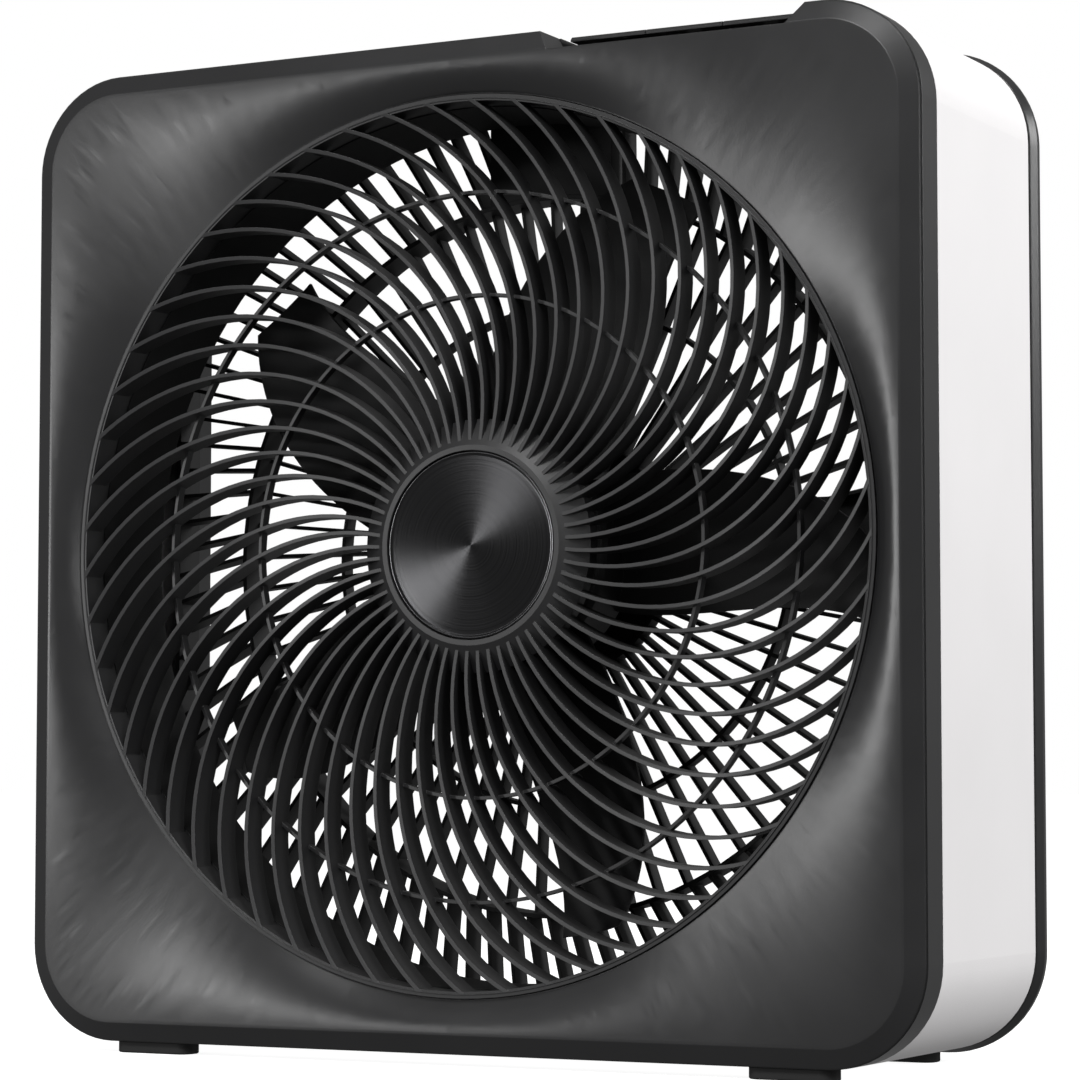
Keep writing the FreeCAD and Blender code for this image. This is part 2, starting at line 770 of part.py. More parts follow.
def impeller():
    edge = hub_edge
    inner = hub_radius - hub_wall
    recess_wall = nut_recess_radius + hub_wall
    hub = turned([
        (shaft_radius + running_gap, nut_seat), (nut_recess_radius, nut_seat),
        (nut_recess_radius, hub_front), (hub_radius - edge, hub_front),
        (hub_radius - edge * 0.3, hub_front + edge * 0.3), (hub_radius, hub_front + edge),
        (hub_radius, hub_back), (inner, hub_back), (inner, hub_front + edge),
        (inner - edge * 0.5, hub_front + hub_wall), (recess_wall, hub_front + hub_wall),
        (recess_wall, nut_seat + hub_wall), (boss_outer, nut_seat + hub_wall),
        (boss_outer, boss_back), (shaft_radius + running_gap, boss_back)])
    web = block((boss_outer - 1, inner + 1), (hub_front + 1.5, boss_back - 4), (-1, 1))
    web = web.cut(disc(recess_wall - 1, hub_front - 1, nut_seat + 1))
    whole = hub
    for index in range(blade_count):
        turn = 360.0 / blade_count * index
        whole = whole.fuse(spun(web, turn + 20))
    shape = blade()
    for index in range(blade_count):
        whole = whole.fuse(spun(shape, 360.0 / blade_count * index))
    return whole


def impeller_nut():
    """A hexagon nut with a plain flange, seated in the hub's recess."""
    across = 7.5
    corners = []
    for side in range(7):
        angle = math.radians(60 * side)
        corners.append(place(across * math.cos(angle), nut_seat - 4.6, across * math.sin(angle)))
    body = Part.Face(Part.makePolygon(corners)).extrude(FreeCAD.Vector(0, 4.6 - 1.2, 0))
    body = body.fuse(disc(9.0, nut_seat - 1.2, nut_seat))
    return body.cut(disc(shaft_radius + running_gap, nut_seat - 6, nut_seat + 1))


# ---------------------------------------------------------------- motor
def motor_shaft():
    shaft = disc(shaft_radius, shaft_front, shaft_back)
    return shaft.makeChamfer(0.5, shaft.Edges[:1])


def rotor_core():
    return tube(shaft_radius, bore_radius - air_gap, stack_front, stack_back)


def rotor_end_rings():
    radius = bore_radius - air_gap - 1.0
    return [tube(shaft_radius + 7, radius, stack_front - 3, stack_front),
            tube(shaft_radius + 7, radius, stack_back, stack_back + 3)]


def thrust_washers():
    inner = shaft_radius + running_gap
    return [tube(inner, bush_radius, motor_front + 8.2, motor_front + 9.4),
            tube(inner, bush_radius, motor_back - 8.6, motor_back - 7.4)]


def stator_slot(index, clearance):
    half = 2.6 - clearance
    slot = block((bore_radius + 3 + clearance, bore_radius + 11 - clearance),
                 (stack_front - 1, stack_back + 1), (-half, half))
    return spun(slot, 360.0 / slot_count * (index + 0.5))


def motor_bolt_places():
    for quarter in range(4):
        angle = math.radians(45 + 90 * quarter)
        yield motor_bolt_circle * math.cos(angle), motor_bolt_circle * math.sin(angle)


def mount_screw_places():
    """The four feet of the motor, on the guard's mounting plate."""
    for quarter in range(4):
        angle = math.radians(90 * quarter)
        yield mount_circle * math.cos(angle), mount_circle * math.sin(angle)


def stator_core():
    core = tube(bore_radius, motor_radius, stack_front, stack_back)
    for index in range(slot_count):
        core = core.cut(stator_slot(index, 0))
    for x, z in motor_bolt_places():
        core = core.cut(rod(2.0, x, z, stack_front - 1, stack_back + 1))
    return core


def stator_windings():
    """The copper overhangs at both ends, joined through the slots."""
    inner = bore_radius + 2.4
    outer = bore_radius + 11.6
    edge = 2.2
    rings = []
    for near, far in ((stack_front - 7.5, stack_front), (stack_back, stack_back + 7.5)):
        front = near < stack_front - 1
        free = near if front else far
        sign = 1 if front else -1
        points = [
            (inner, free + sign * edge), (inner + edge, free), (outer - edge, free),
            (outer, free + sign * edge)]
        base = far if front else near
        rings.append(turned(points + [(outer, base), (inner, base)]))
    coil = rings[0].fuse(rings[1])
    for index in range(slot_count):
        bar = stator_slot(index, 0.15).common(tube(1, motor_radius, stack_front - 0.5, stack_back + 0.5))
        coil = coil.fuse(bar)
    return coil


def motor_front_cover():
    housing_end = motor_front + 7
    cover = turned([
        (bush_radius, motor_front - 4), (housing_radius, motor_front - 4),
        (housing_radius, motor_front), (motor_radius - 3, motor_front),
        (motor_radius, motor_front + 3), (motor_radius, stack_front),
        (motor_radius - cover_wall, stack_front), (motor_radius - cover_wall, motor_front + 4),
        (motor_radius - 4, motor_front + cover_wall), (housing_radius, motor_front + cover_wall),
        (housing_radius, housing_end), (bush_radius, housing_end)])
    vent = block((18, 36), (motor_front - 1, motor_front + cover_wall + 1), (-2, 2))
    for index in range(12):
        cover = cover.cut(spun(vent, 30 * index + 15))
    for x, z in motor_bolt_places():
        cover = cover.fuse(rod(4.0, x, z, motor_front, stack_front).common(
            disc(motor_radius, motor_front, stack_front)))
        cover = cover.cut(rod(2.0, x, z, motor_front - 1, stack_front + 1))
    return cover


def motor_rear_cover():
    cover = turned([
        (bush_radius, motor_back - 7), (housing_radius, motor_back - 7),
        (housing_radius, motor_back - cover_wall), (motor_radius - 4, motor_back - cover_wall),
        (motor_radius - cover_wall, motor_back - 4), (motor_radius - cover_wall, stack_back),
        (motor_radius, stack_back), (motor_radius, motor_back - 3), (motor_radius - 3, motor_back),
        (housing_radius, motor_back), (housing_radius, motor_back + 4), (bush_radius, motor_back + 4)])
    for x, z in motor_bolt_places():
        cover = cover.fuse(rod(4.0, x, z, stack_back, motor_back).common(
            disc(motor_radius, stack_back, motor_back)))
        cover = cover.cut(rod(1.8, x, z, stack_back - 1, motor_back + 1))
    for x, z in mount_screw_places():
        cover = cover.cut(rod(1.6, x, z, motor_back - 5, motor_back + 1))
    return cover


def bushes():
    inner = shaft_radius + running_gap
    front = motor_front - 3.5
    back = motor_back - 6.5
    return [tube(inner, bush_radius, front, front + bush_length),
            tube(inner, bush_radius, back, back + bush_length)]


def motor_bolts():
    length = motor_back - motor_front - 1.5
    return [screw(3.4, 2.2, 1.75, length, x, z, motor_front, forward=False)
            for x, z in motor_bolt_places()]


def mount_screws():
    return [screw(3.6, 2.2, 1.55, 7.0, x, z, mount_floor) for x, z in mount_screw_places()]


def motor_cap():
    """The domed cover over the motor's rear bearing."""
    floor = mount_floor
    top = floor + cap_rise
    return turned([
        (0, top - 2), (cap_radius - 12, top - 2), (cap_radius - 2, floor),
        (cap_radius, floor), (cap_radius - 10, top), (0, top)])


# ---------------------------------------------------------------- controls
def key_places():
    for name, step in (("left", -1), ("middle", 0), ("right", 1)):
        yield name, key_group_x + step * key_pitch


def tray_range(gap):
    """The tray's sideways range, grown by a gap."""
    reach = 1.5 * key_pitch + tray_margin + tray_wall + gap
    return key_group_x - reach, key_group_x + reach


def control_tray():
    """The dark recess behind the notch, open to the front, that the keys stand in."""
    low, high = tray_range(0)
    back = key_front + key_length + tray_wall + 0.9
    floor = block((low, high), (lip_end + fit_gap, back), (key_floor_z - tray_thickness, key_floor_z))
    tray = floor
    for near, far in ((low, low + tray_wall), (high - tray_wall, high)):
        tray = tray.fuse(block((near, far), (lip_end + 1, back), (key_floor_z, half_height)))
    tray = tray.fuse(block((low, high), (back - tray_wall, back), (key_floor_z, half_height)))
    side = stem_side / 2 + stem_gap
    for _, x in key_places():
        tray = tray.cut(block((x - side, x + side), (key_depth_mid - side, key_depth_mid + side),
                              (key_floor_z - 5, key_floor_z + 1)))
    for x in switch_screw_places():
        tray = tray.cut(upright(1.7, x, key_depth_mid + 6, key_floor_z - 5, key_floor_z + 1))
    return tray.removeSplitter()


def upright(radius, x, depth, low, high):
    return Part.makeCylinder(radius, high - low, place(x, depth, low))


def switch_screw_places():
    return [key_group_x - key_pitch / 2, key_group_x + key_pitch / 2]


def key_cap(x):
    """One key: a long cap with a sloping front edge, on a square stem."""
    half = (key_pitch - key_gap) / 2
    top = half_height + key_proud
    base = top - key_height
    cap = block((x - half, x + half), (key_front, key_front + key_length), (base, top))
    slope = place(x, key_front, top)
    front_edges = [edge for edge in cap.Edges
                   if abs(edge.BoundBox.YMax - slope.y) < 1e-6 and abs(edge.BoundBox.ZMin - slope.z) < 1e-6]
    cap = cap.makeChamfer(1.6, front_edges)
    side = stem_side / 2
    stem = block((x - side, x + side), (key_depth_mid - side, key_depth_mid + side),
                 (key_floor_z - tray_thickness - stem_reach, base + 0.5))
    return cap.fuse(stem)


def switch_range():
    return key_group_x - switch_width / 2, key_group_x + switch_width / 2


def switch_body():
    top = key_floor_z - tray_thickness
    low, high = switch_range()
    body = block((low, high), (key_depth_mid - switch_depth / 2, key_depth_mid + switch_depth / 2),
                 (top - switch_height, top))
    side = stem_side / 2 + stem_gap
    for _, x in key_places():
        body = body.cut(block((x - side, x + side), (key_depth_mid - side, key_depth_mid + side),
                              (top - switch_height + wall, top + 1)))
    for x in switch_screw_places():
        body = body.cut(upright(1.5, x, key_depth_mid + 6, top - 10, top + 1))
    return body


def switch_screws():
    """Two screws under the keys that hold the switch body to the tray."""
    pieces = []
    for x in switch_screw_places():
        head = upright(3.0, x, key_depth_mid + 6, key_floor_z, key_floor_z + 1.6)
        shank = upright(1.45, x, key_depth_mid + 6, key_floor_z - 9, key_floor_z)
        slot = block((x - 2, x + 2), (key_depth_mid + 5.6, key_depth_mid + 6.4),
                     (key_floor_z + 0.9, key_floor_z + 2))
        pieces.append(head.fuse(shank).cut(slot))
    return pieces


def switch_terminals():
    """Flat tabs under the switch body for the leads."""
    bottom = key_floor_z - tray_thickness - switch_height
    low, high = switch_range()
    tabs = []
    for index in range(4):
        x = low + (high - low) * (index + 0.8) / 4.6
        tabs.append(block((x - 3.1, x + 3.1), (key_depth_mid - 0.4, key_depth_mid + 0.4),
                          (bottom - 7, bottom)))
    return tabs


def key_spring(x):
    """The return spring under one stem."""
    top = key_floor_z - tray_thickness
    base = top - switch_height + wall
    height = top - stem_reach - base - 2 * spring_wire
    pitch = height / spring_turns
    helix = Part.makeHelix(pitch, height, spring_radius)
    section = Part.Wire(Part.makeCircle(
        spring_wire, FreeCAD.Vector(spring_radius, 0, 0), FreeCAD.Vector(0, 1, 0)))
    coil = Part.Wire(helix).makePipeShell([section], True, True)
    coil.translate(place(x, key_depth_mid, base + spring_wire))
    return coil


# ---------------------------------------------------------------- wiring
def channel_screw_places():
    for x in (channel_start + 9, channel_end - 9):
        for sign in (-1, 1):
            yield x, sign * (channel_half_height - 5)


def wiring_channel():
    """The box behind the guard, from the motor plate to the side, that covers the wiring."""
    half = channel_half_height
    outer = block((channel_start, channel_end), (guard_back, channel_back), (-half, half))
    outer = outer.makeFillet(3.0, [edge for edge in outer.Edges
                                   if edge.BoundBox.YMin > place(0, channel_back, 0).y - 1e-4])
    inner = block((channel_start + channel_wall, channel_end - channel_wall),
                  (guard_back - 1, channel_back - channel_wall), (-half + channel_wall, half - channel_wall))
    channel = outer.cut(inner)
    for x, z in channel_screw_places():
        channel = channel.fuse(rod(4.0, x, z, guard_back, channel_back - 1))
    for x, z in channel_screw_places():
        channel = channel.cut(rod(1.4, x, z, guard_back - 1, guard_back + 11))
    channel = channel.cut(rod(gland_radius + 0.15, dial_x, 0, guard_back + 2, channel_back + 1))
    return channel.cut(lead_slot())


def channel_screws():
    seat = guard_back - 3
    return [screw(2.9, 1.8, 1.35, 12.0, x, z, seat, forward=False) for x, z in channel_screw_places()]


def run_capacitor():
    """The boxed capacitor inside the channel, against its back wall."""
    back = channel_back - channel_wall
    box = block((capacitor_x, capacitor_x + capacitor_length), (guard_back + 1, back),
                (lead_height - 14, lead_height + 6))
    return box.makeFillet(1.0, [edge for edge in box.Edges if edge.BoundBox.YLength > 5])


def cord_gland():
    """The collar in the back of the channel where the mains cord would enter."""
    seat = channel_back
    return turned_at(dial_x, 0, [
        (gland_bore, seat - 6), (gland_radius, seat - 6), (gland_radius, seat),
        (gland_radius + 3, seat), (gland_radius + 3, seat + 2.5), (gland_radius - 2, seat + 13),
        (gland_bore, seat + 13)])


def turned_at(x, z, points):
    """A solid of revolution round an axis beside the fan's own."""
    solid = turned(points)
    solid.translate(FreeCAD.Vector(x, 0, z))
    return solid


def lead_route():
    """The corners of the lead's way from the capacitor to the switch, each with its bend radius."""
    end_x = switch_range()[1]
    forward = key_depth_mid + 46
    switch_z = key_floor_z - tray_thickness - switch_height / 2
    return [
        (place(capacitor_x + capacitor_length, lead_depth, lead_height), 0),
        (place(lead_x, lead_depth, lead_height), lead_tight_bend),
        (place(lead_x, forward, lead_height), lead_wide_bend),
        (place(lead_x, forward, key_floor_z - 95), lead_wide_bend),
        (place(lead_x - 27, key_depth_mid + 17, key_floor_z - 45), lead_wide_bend),
        (place(end_x + 16, key_depth_mid, switch_z), lead_tight_bend),
        (place(end_x, key_depth_mid, switch_z), 0)]


def swept_lead(corners, radius):
    """A round lead along straight runs joined by tangent arcs."""
    edges = []
    cursor = corners[0][0]
    for index in range(1, len(corners) - 1):
        corner, bend = corners[index]
        before = (corner - corners[index - 1][0]).normalize()
        after = (corners[index + 1][0] - corner).normalize()
        turn = before.getAngle(after)
        reach = bend * math.tan(turn / 2)
        start = corner - before * reach
        finish = corner + after * reach
        inward = (after - before).normalize()
        middle = corner + inward * (bend / math.cos(turn / 2) - bend)
        edges.append(Part.makeLine(cursor, start))
        edges.append(Part.Arc(start, middle, finish).toShape())
        cursor = finish
    edges.append(Part.makeLine(cursor, corners[-1][0]))
    section = Part.Wire(Part.makeCircle(radius, corners[0][0], corners[1][0] - corners[0][0]))
    return Part.Wire(edges).makePipeShell([section], True, False)


def lead_clips():
    """Clips on the inside of the band that hold the lead."""
    depth = key_depth_mid + 46
    half = lead_radius + 2.0
    clips = []
    for height in (lead_height + 50, lead_height + 110):
        clip = block((lead_x - half, half_width - wall), (depth - half, depth + half),
                     (height - 4, height + 4))
        hole = Part.makeCylinder(lead_radius + 0.05, 12, place(lead_x, depth, height - 6))
        clips.append(clip.cut(hole))
    return clips


# ---------------------------------------------------------------- feet and fasteners
def foot(x, depth):
    """A soft foot with rounded ends, and the peg that holds it in the shell."""
    half_length = foot_length / 2
    half_depth = foot_width / 2
    pad = block((x - half_length, x + half_length), (depth - half_depth, depth + half_depth),
                (-half_height - foot_drop, -half_height))
    uprights = [edge for edge in pad.Edges if edge.BoundBox.ZLength > foot_drop / 2]
    pad = pad.makeFillet(half_depth * 0.8, uprights)
    bottom = [edge for edge in pad.Edges
              if edge.BoundBox.ZMax < place(0, 0, -half_height - foot_drop + 0.01).z]
    pad = pad.makeFillet(1.0, bottom)
    peg = Part.makeCylinder(foot_peg_radius, foot_peg_length, place(x, depth, -half_height - 0.5))
    return pad.fuse(peg)


def shell_screws():
    return [screw(3.9, 2.6, 1.7, 34.0, x, z, post_seat) for x, z in post_places()]


def duct_screws():
    seat = duct_seat + duct_flange_thickness
    return [screw(3.4, 2.0, 1.5, 13.0, x, z, seat) for x, z in duct_screw_places()]


def guard_screws():
    seat = guard_back - guard_flange_thickness
    return [screw(2.7, 1.8, 1.4, 13.0, x, z, seat, forward=False) for x, z in guard_screw_places()]


os.makedirs("parts", exist_ok=True)
save("front_shell", front_shell())
save("air_duct", air_duct())
save("front_grille", front_grille())
save("badge_disc", badge_disc())
save("side_band", side_band())
save("rear_shell", rear_shell())
save("rear_guard", rear_guard())
save("impeller", impeller())
save("impeller_nut", impeller_nut())
save("motor_shaft", motor_shaft())
save("rotor_core", rotor_core())
save("rotor_end_rings", *rotor_end_rings())
save("thrust_washers", *thrust_washers())
save("stator_core", stator_core())
save("stator_windings", stator_windings())
save("motor_front_cover", motor_front_cover())
save("motor_rear_cover", motor_rear_cover())
save("shaft_bushes", *bushes())
save("motor_bolts", *motor_bolts())
save("motor_mount_screws", *mount_screws())
save("motor_cap", motor_cap())
save("control_tray", control_tray())
save("switch_body", switch_body())
save("switch_screws", *switch_screws())
save("switch_terminals", *switch_terminals())
for key_name, key_x in key_places():
    save("button_" + key_name, key_cap(key_x))
    save("button_spring_" + key_name, key_spring(key_x))
save("wiring_channel", wiring_channel())
save("channel_screws", *channel_screws())
save("run_capacitor", run_capacitor())
save("cord_gland", cord_gland())
save("switch_lead", swept_lead(lead_route(), lead_radius))
save("lead_clips", *lead_clips())
for foot_name, foot_x, foot_depth in foot_places():
    save(foot_name, foot(foot_x, foot_depth))
save("shell_screws", *shell_screws())
save("duct_screws", *duct_screws())
save("guard_screws", *guard_screws())
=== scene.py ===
# %% [markdown]
# # A box fan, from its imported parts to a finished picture
# The fan arrives as a set of exact solids that already have their places and their joints.
# This lesson gives each of them a believable surface, adds the few pieces that are better made
# here than as plain solids, and sets up a small photo studio around them.
# Everything is in metres: +X is to the right, +Y goes from the front grille to the back, +Z is up.

# %% Load the frame
import bpy
import json
import math
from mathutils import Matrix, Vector


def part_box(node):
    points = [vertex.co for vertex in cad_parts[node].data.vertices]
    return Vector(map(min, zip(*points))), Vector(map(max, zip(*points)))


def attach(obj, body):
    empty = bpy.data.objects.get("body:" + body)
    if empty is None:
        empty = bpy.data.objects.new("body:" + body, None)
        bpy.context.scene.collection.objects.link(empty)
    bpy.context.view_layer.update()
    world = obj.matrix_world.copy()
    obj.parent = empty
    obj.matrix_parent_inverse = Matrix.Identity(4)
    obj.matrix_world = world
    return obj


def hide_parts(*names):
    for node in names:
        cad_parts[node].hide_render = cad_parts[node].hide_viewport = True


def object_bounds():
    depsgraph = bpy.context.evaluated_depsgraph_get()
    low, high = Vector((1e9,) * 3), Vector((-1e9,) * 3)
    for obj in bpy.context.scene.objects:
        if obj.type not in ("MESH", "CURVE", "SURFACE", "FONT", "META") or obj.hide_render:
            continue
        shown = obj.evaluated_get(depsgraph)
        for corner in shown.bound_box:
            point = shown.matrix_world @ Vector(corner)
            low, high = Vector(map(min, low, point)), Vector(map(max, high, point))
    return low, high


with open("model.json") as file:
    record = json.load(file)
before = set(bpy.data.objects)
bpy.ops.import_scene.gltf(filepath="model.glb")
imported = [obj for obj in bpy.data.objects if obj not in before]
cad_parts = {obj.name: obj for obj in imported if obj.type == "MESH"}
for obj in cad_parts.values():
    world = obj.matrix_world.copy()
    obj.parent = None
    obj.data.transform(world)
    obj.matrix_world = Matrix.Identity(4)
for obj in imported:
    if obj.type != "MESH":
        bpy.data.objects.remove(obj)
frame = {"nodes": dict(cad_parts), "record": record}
cad_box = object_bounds()
record = frame["record"]
print("box of the solids:", [[round(v, 4) for v in corner] for corner in cad_box])

# %% [markdown]
# ## Where the fan's axis is
# Most of the fan is round the spindle of its motor, so the height of that spindle is worth
# knowing once. The hinge of the impeller gives it. The rim round the dish slopes back by a few
# millimetres, and the dish starts that far behind the front.

# %% The axis and the front of the housing
spin_joint = next(joint for joint in record["behaviour"]["joints"] if joint.get("continuous"))
axis_x, _, axis_z = spin_joint["pos_m"]
front_y = cad_box[0][1]
rim_depth = 0.0044
print("axis height:", axis_z, "front of the rim:", round(front_y, 4))

# %% [markdown]
# ## The camera
# The fan is looked at from a little to its right and from just below the height of its hub,
# with a long lens, so its straight edges stay nearly parallel. The camera looks back along a
# line from a point beside the hub, at the depth where the dish starts.

# %% Camera
view_azimuth = math.radians(27.60)
view_elevation = math.radians(-3.86)
view_distance = 1.8117
aim_right = 0.04499
aim_up = 0.00141
lens_mm = 118.03


def place_camera():
    back = Vector((
        math.sin(view_azimuth) * math.cos(view_elevation),
        -math.cos(view_azimuth) * math.cos(view_elevation),
        math.sin(view_elevation)))
    right = Vector((math.cos(view_azimuth), math.sin(view_azimuth), 0))
    up = back.cross(right)
    target = Vector((axis_x, front_y + rim_depth, axis_z)) + right * aim_right + up * aim_up
    data = bpy.data.cameras.new("studio camera")
    data.sensor_width = 36
    data.lens = lens_mm
    data.clip_start = 0.05
    camera = bpy.data.objects.new("studio camera", data)
    camera.location = target + back * view_distance
    camera.rotation_euler = (-back).to_track_quat("-Z", "Y").to_euler()
    bpy.context.scene.collection.objects.link(camera)
    bpy.context.scene.camera = camera
    print("camera at", [round(v, 3) for v in camera.location])


place_camera()

# %% [markdown]
# ## Small helpers for node trees
# A material is a graph of nodes. A few helpers keep the graphs below short: one adds a node and
# sets its values, one joins two sockets, one opens a group with named sockets and one does a sum.

# %% Node helpers


def add_node(tree, kind, **values):
    """Add a node. A name that is a property is set on the node, any other on its input socket."""
    node = tree.nodes.new(kind)
    for name, value in values.items():
        if hasattr(node, name):
            setattr(node, name, value)
        else:
            node.inputs[name.replace("_", " ")].default_value = value
    return node


def join(tree, source, target):
    tree.links.new(source, target)


print("helpers: add_node, join")

# %% Group and sum helpers
FLOAT = "NodeSocketFloat"
VECTOR = "NodeSocketVector"


def new_group(name, inputs, outputs):
    """A shader node group with named sockets, and the nodes where its values come in and go out."""
    group = bpy.data.node_groups.new(name, "ShaderNodeTree")
    for label, kind, value in inputs:
        socket = group.interface.new_socket(label, in_out="INPUT", socket_type=kind)
        socket.default_value = value
    for label, kind in outputs:
        group.interface.new_socket(label, in_out="OUTPUT", socket_type=kind)
    return group, add_node(group, "NodeGroupInput"), add_node(group, "NodeGroupOutput")


def maths(tree, operation, first, second=None, clamp=False):
    """A Math node. Each operand is a socket or a number."""
    node = add_node(tree, "ShaderNodeMath", operation=operation, use_clamp=clamp)
    for slot, operand in enumerate((first, second)):
        if operand is None:
            continue
        if isinstance(operand, (int, float)):
            node.inputs[slot].default_value = operand
        else:
            join(tree, operand, node.inputs[slot])
    return node.outputs[0]


print("helpers: new_group, maths")

# %% [markdown]
# ## The skin of a moulded plastic part
# The housing, the grille and the blades come out of a mould whose steel was etched with a fine
# grain. Close up that grain is a field of soft bumps a third of a millimetre across, and over
# a hand's width the sheen drifts a little where the plastic flowed. Two noises at two sizes
# give both, and one group can serve every plastic here with its own values.

# %% Group: moulded grain


def build_moulded_grain():
    group, entry, exit_node = new_group(
        "moulded grain",
        [("Grain per metre", FLOAT, 3000.0), ("Drift per metre", FLOAT, 9.0)],
        [("Height", FLOAT), ("Drift", FLOAT)])
    place = add_node(group, "ShaderNodeTexCoord").outputs["Object"]
    fine = add_node(group, "ShaderNodeTexNoise", Detail=2.0, Roughness=0.55)
    join(group, place, fine.inputs["Vector"])
    join(group, entry.outputs["Grain per metre"], fine.inputs["Scale"])
    slow = add_node(group, "ShaderNodeTexNoise", Detail=3.0, Roughness=0.6)
    join(group, place, slow.inputs["Vector"])
    join(group, entry.outputs["Drift per metre"], slow.inputs["Scale"])
    join(group, fine.outputs[0], exit_node.inputs["Height"])
    join(group, slow.outputs[0], exit_node.inputs["Drift"])
    print("group:", group.name)
    return group


moulded_grain = build_moulded_grain()

# %% [markdown]
# ## Edges that have been handled
# No moulded edge is knife sharp, and a rounded edge catches a thin line of light. A Bevel node
# rounds the shading within a fraction of a millimetre of an edge. Where the rounded normal
# leaves the true one there is an edge, and that difference is a mask for a slightly paler,
# slightly smoother edge.

# %% Group: handled edges


def build_handled_edges():
    group, entry, exit_node = new_group(
        "handled edges", [("Edge radius", FLOAT, 0.0006), ("Amount", FLOAT, 1.0)],
        [("Edge", FLOAT), ("Rounded", VECTOR)])
    rounded = add_node(group, "ShaderNodeBevel", samples=4)
    join(group, entry.outputs["Edge radius"], rounded.inputs["Radius"])
    true = add_node(group, "ShaderNodeNewGeometry").outputs["Normal"]
    likeness = add_node(group, "ShaderNodeVectorMath", operation="DOT_PRODUCT")
    join(group, rounded.outputs[0], likeness.inputs[0])
    join(group, true, likeness.inputs[1])
    apart = maths(group, "SUBTRACT", 1.0, likeness.outputs["Value"], clamp=True)
    mask = maths(group, "MULTIPLY", apart, entry.outputs["Amount"], clamp=True)
    join(group, mask, exit_node.inputs["Edge"])
    join(group, rounded.outputs[0], exit_node.inputs["Rounded"])
    print("group:", group.name)
    return group


handled_edges = build_handled_edges()

# %% [markdown]
# ## A breath of dust
# Even a clean fan holds a little dust on the surfaces that face up. The upward part of the
# normal, broken up by a noise, is where it lies.

# %% Group: settled dust


def build_settled_dust():
    group, entry, exit_node = new_group(
        "settled dust", [("Amount", FLOAT, 0.1)], [("Dust", FLOAT)])
    place = add_node(group, "ShaderNodeTexCoord").outputs["Object"]
    patches = add_node(group, "ShaderNodeTexNoise", Scale=38.0, Detail=6.0, Roughness=0.7)
    join(group, place, patches.inputs["Vector"])
    split = add_node(group, "ShaderNodeSeparateXYZ")
    join(group, add_node(group, "ShaderNodeNewGeometry").outputs["Normal"], split.inputs[0])
    falloff = 3.0
    facing_up = maths(group, "MAXIMUM", split.outputs["Z"], 0.0)
    upward = maths(group, "POWER", facing_up, falloff)
    broken = maths(group, "MULTIPLY", upward, patches.outputs[0])
    dust = maths(group, "MULTIPLY", broken, entry.outputs["Amount"], clamp=True)
    join(group, dust, exit_node.inputs["Dust"])
    print("group:", group.name)
    return group


settled_dust = build_settled_dust()

# %% [markdown]
# ## Turned metal
# A disc that was turned on a lathe carries rings round its centre, each a hair brighter or
# darker than the next. The distance from the fan's axis, fed to a noise that only varies along
# that distance, draws them. The group measures from the axis, so it suits any piece on it.

# %% Group: turned rings


def build_turned_rings():
    group, entry, exit_node = new_group(
        "turned rings", [("Rings per metre", FLOAT, 900.0)],
        [("Rings", FLOAT), ("Fine rings", FLOAT)])
    place = add_node(group, "ShaderNodeTexCoord").outputs["Object"]
    centre = add_node(group, "ShaderNodeVectorMath", operation="SUBTRACT")
    centre.inputs[1].default_value = (axis_x, 0, axis_z)
    join(group, place, centre.inputs[0])
    flat = add_node(group, "ShaderNodeVectorMath", operation="MULTIPLY")
    flat.inputs[1].default_value = (1, 0, 1)
    join(group, centre.outputs[0], flat.inputs[0])
    radius = add_node(group, "ShaderNodeVectorMath", operation="LENGTH")
    join(group, flat.outputs[0], radius.inputs[0])
    for label, factor in (("Rings", 1.0), ("Fine rings", 4.0)):
        rings = add_node(
            group, "ShaderNodeTexNoise", noise_dimensions="1D", Detail=3.0, Roughness=0.7)
        along = maths(group, "MULTIPLY", radius.outputs["Value"], entry.outputs["Rings per metre"])
        join(group, maths(group, "MULTIPLY", along, factor), rings.inputs["W"])
        rings.inputs["Scale"].default_value = 1.0
        join(group, rings.outputs[0], exit_node.inputs[label])
    print("group:", group.name)
    return group


turned_rings = build_turned_rings()

# %% [markdown]
# ## One recipe for every plastic
# A plastic is a base colour, a roughness and the three effects above. What differs from part
# to part is how coarse the grain is, how matte it dries and how much an edge shows, so those
# are the arguments of one function.

# %% Colour and texture helpers


def use_group(tree, group, **values):
    """Place a group in a tree and set its inputs."""
    node = add_node(tree, "ShaderNodeGroup", node_tree=group)
    for name, value in values.items():
        node.inputs[name.replace("_", " ")].default_value = value
    return node


def blend_colours(tree, amount, first, second):
    """Mix two colours by a mask. Each is a socket or a colour tuple."""
    node = add_node(tree, "ShaderNodeMix", data_type="RGBA")
    join(tree, amount, node.inputs["Factor"])
    for slot, colour in ((6, first), (7, second)):
        if isinstance(colour, tuple):
            node.inputs[slot].default_value = (*colour, 1.0)
        else:
            join(tree, colour, node.inputs[slot])
    return node.outputs[2]


def stretch(tree, value, low, high, span=(0.3, 0.7)):
    """Spread a noise value over a range."""
    node = add_node(tree, "ShaderNodeMapRange")
    join(tree, value, node.inputs["Value"])
    node.inputs["From Min"].default_value = span[0]
    node.inputs["From Max"].default_value = span[1]
    node.inputs["To Min"].default_value = low
    node.inputs["To Max"].default_value = high
    return node.outputs["Result"]


def paler_by(colour, gain, lift=0.0):
    """A colour multiplied and lifted, and kept within white."""
    return tuple(min(1.0, v * gain + lift) for v in colour)


def new_material(name):
    """A material, its node tree and its Principled BSDF."""
    material = bpy.data.materials.new(name)
    material.use_nodes = True
    tree = material.node_tree
    skin = tree.nodes["Principled BSDF"]
    return material, tree, skin


